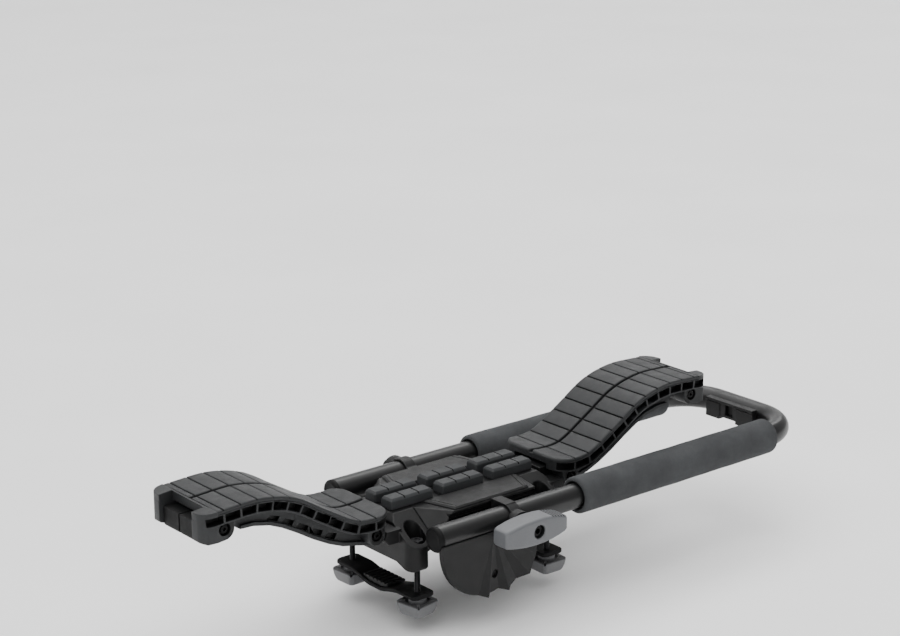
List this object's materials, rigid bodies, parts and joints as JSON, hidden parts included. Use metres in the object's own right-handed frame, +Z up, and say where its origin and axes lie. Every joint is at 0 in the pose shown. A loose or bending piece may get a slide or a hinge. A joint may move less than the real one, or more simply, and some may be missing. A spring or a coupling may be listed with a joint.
{
  "type": "kayak and paddleboard roof bar carrier",
  "caption": "Roof bar carrier for boats and boards: a clamped base with rubber pads, two curved saddle wings and a padded U-shaped arm that folds flat or stands up.",
  "frame": {"origin": "middle of the flat rubber face that rests on the crossbar", "axes": "+X along the crossbar, towards the closed end of the folded arm; -Y towards the T-handle; +Z up"},
  "size_m": [0.7507, 0.2339, 0.159],
  "materials": {
    "base_plastic": "fine moulded grain, black",
    "coated_tube": "satin black coating on steel",
    "foam": "closed-cell foam, dark grey",
    "wing_plastic": "fine moulded grain, dark grey",
    "soft_rubber": "matte slate grey",
    "handle_plastic": "smooth mid grey",
    "knob_plastic": "smooth grey",
    "dark_steel": "black oxide",
    "black_trim": "matte black"
  },
  "bodies": {
    "base": {"base_body": "base_plastic", "crossbar_liner": "soft_rubber", "front_slot_rail": "black_trim", "rear_slot_rail": "black_trim", "front_deck_cover": "base_plastic", "rear_deck_cover": "base_plastic", "left_end_bracket": "base_plastic", "right_end_bracket": "base_plastic", "left_wing_hinge_pin": "dark_steel", "right_wing_hinge_pin": "dark_steel", "left_front_clamp_stud": "dark_steel", "left_rear_clamp_stud": "dark_steel", "right_front_clamp_stud": "dark_steel", "right_rear_clamp_stud": "dark_steel", "front_left_pad": "soft_rubber", "front_middle_pad": "soft_rubber", "front_right_pad": "soft_rubber", "rear_left_pad": "soft_rubber", "rear_middle_pad": "soft_rubber", "rear_right_pad": "soft_rubber"},
    "pivot_carriage": {"pivot_cross_rod": "dark_steel", "front_slide_block": "black_trim", "rear_slide_block": "black_trim", "rear_pivot_nut": "dark_steel", "handle_thrust_washer": "black_trim"},
    "arm": {"arm_tube": "coated_tube", "front_foam_sleeve": "foam", "rear_foam_sleeve": "foam", "front_tube_plug": "black_trim", "rear_tube_plug": "black_trim", "front_pivot_collar": "base_plastic", "rear_pivot_collar": "base_plastic", "front_quadrant": "base_plastic", "rear_quadrant": "base_plastic", "strap_catch": "base_plastic"},
    "t_handle": {"t_handle": "handle_plastic", "handle_socket_screw": "dark_steel"},
    "left_wing": {"left_wing_frame": "wing_plastic", "left_wing_tread": "soft_rubber", "left_wing_end_pin": "dark_steel", "left_wing_front_block": "black_trim", "left_wing_rear_block": "black_trim"},
    "right_wing": {"right_wing_frame": "wing_plastic", "right_wing_tread": "soft_rubber", "right_wing_end_pin": "dark_steel", "right_wing_front_block": "black_trim", "right_wing_rear_block": "black_trim"},
    "left_strap": {"left_clamp_strap": "base_plastic", "left_strap_liner": "soft_rubber", "left_front_clamp_washer": "knob_plastic", "left_rear_clamp_washer": "knob_plastic"},
    "right_strap": {"right_clamp_strap": "base_plastic", "right_strap_liner": "soft_rubber", "right_front_clamp_washer": "knob_plastic", "right_rear_clamp_washer": "knob_plastic"},
    "left_front_knob": {"left_front_clamp_knob": "knob_plastic"},
    "left_rear_knob": {"left_rear_clamp_knob": "knob_plastic"},
    "right_front_knob": {"right_front_clamp_knob": "knob_plastic"},
    "right_rear_knob": {"right_rear_clamp_knob": "knob_plastic"}
  },
  "joints": [
    {"name": "arm_slide", "type": "slide", "parent": "base", "child": "pivot_carriage", "axis": [1, 0, 0], "range_m": [0, 0.036]},
    {"name": "arm_fold", "type": "hinge", "parent": "pivot_carriage", "child": "arm", "pos_m": [0.008, 0, 0.0295], "axis": [0, -1, 0], "range_deg": [0, 90]},
    {"name": "handle_turn", "type": "hinge", "parent": "pivot_carriage", "child": "t_handle", "pos_m": [0.008, -0.1125, 0.0295], "axis": [0, -1, 0], "range_deg": [-180, 180]},
    {"name": "left_wing_tilt", "type": "hinge", "parent": "base", "child": "left_wing", "pos_m": [-0.1235, 0, 0.0345], "axis": [0, 1, 0], "range_deg": [0, 10]},
    {"name": "right_wing_tilt", "type": "hinge", "parent": "base", "child": "right_wing", "pos_m": [0.1235, 0, 0.0345], "axis": [0, -1, 0], "range_deg": [0, 10]},
    {"name": "left_strap_lift", "type": "slide", "parent": "base", "child": "left_strap", "axis": [0, 0, 1], "range_m": [-0.0051, 0.0151]},
    {"name": "right_strap_lift", "type": "slide", "parent": "base", "child": "right_strap", "axis": [0, 0, 1], "range_m": [-0.0051, 0.0151]},
    {"name": "left_front_knob_turn", "type": "hinge", "parent": "left_strap", "child": "left_front_knob", "pos_m": [-0.083, -0.051, -0.05], "axis": [0, 0, 1], "range_deg": [-1800, 5400]},
    {"name": "left_rear_knob_turn", "type": "hinge", "parent": "left_strap", "child": "left_rear_knob", "pos_m": [-0.083, 0.051, -0.05], "axis": [0, 0, 1], "range_deg": [-1800, 5400]},
    {"name": "right_front_knob_turn", "type": "hinge", "parent": "right_strap", "child": "right_front_knob", "pos_m": [0.083, -0.051, -0.05], "axis": [0, 0, 1], "range_deg": [-1800, 5400]},
    {"name": "right_rear_knob_turn", "type": "hinge", "parent": "right_strap", "child": "right_rear_knob", "pos_m": [0.083, 0.051, -0.05], "axis": [0, 0, 1], "range_deg": [-1800, 5400]}
  ],
  "couplings": [
    {"joint": "left_strap_lift", "follows": "left_front_knob_turn", "m_per_rad": 0.00015915},
    {"joint": "left_rear_knob_turn", "follows": "left_front_knob_turn", "ratio": 1},
    {"joint": "right_strap_lift", "follows": "right_front_knob_turn", "m_per_rad": 0.00015915},
    {"joint": "right_rear_knob_turn", "follows": "right_front_knob_turn", "ratio": 1}
  ]
}
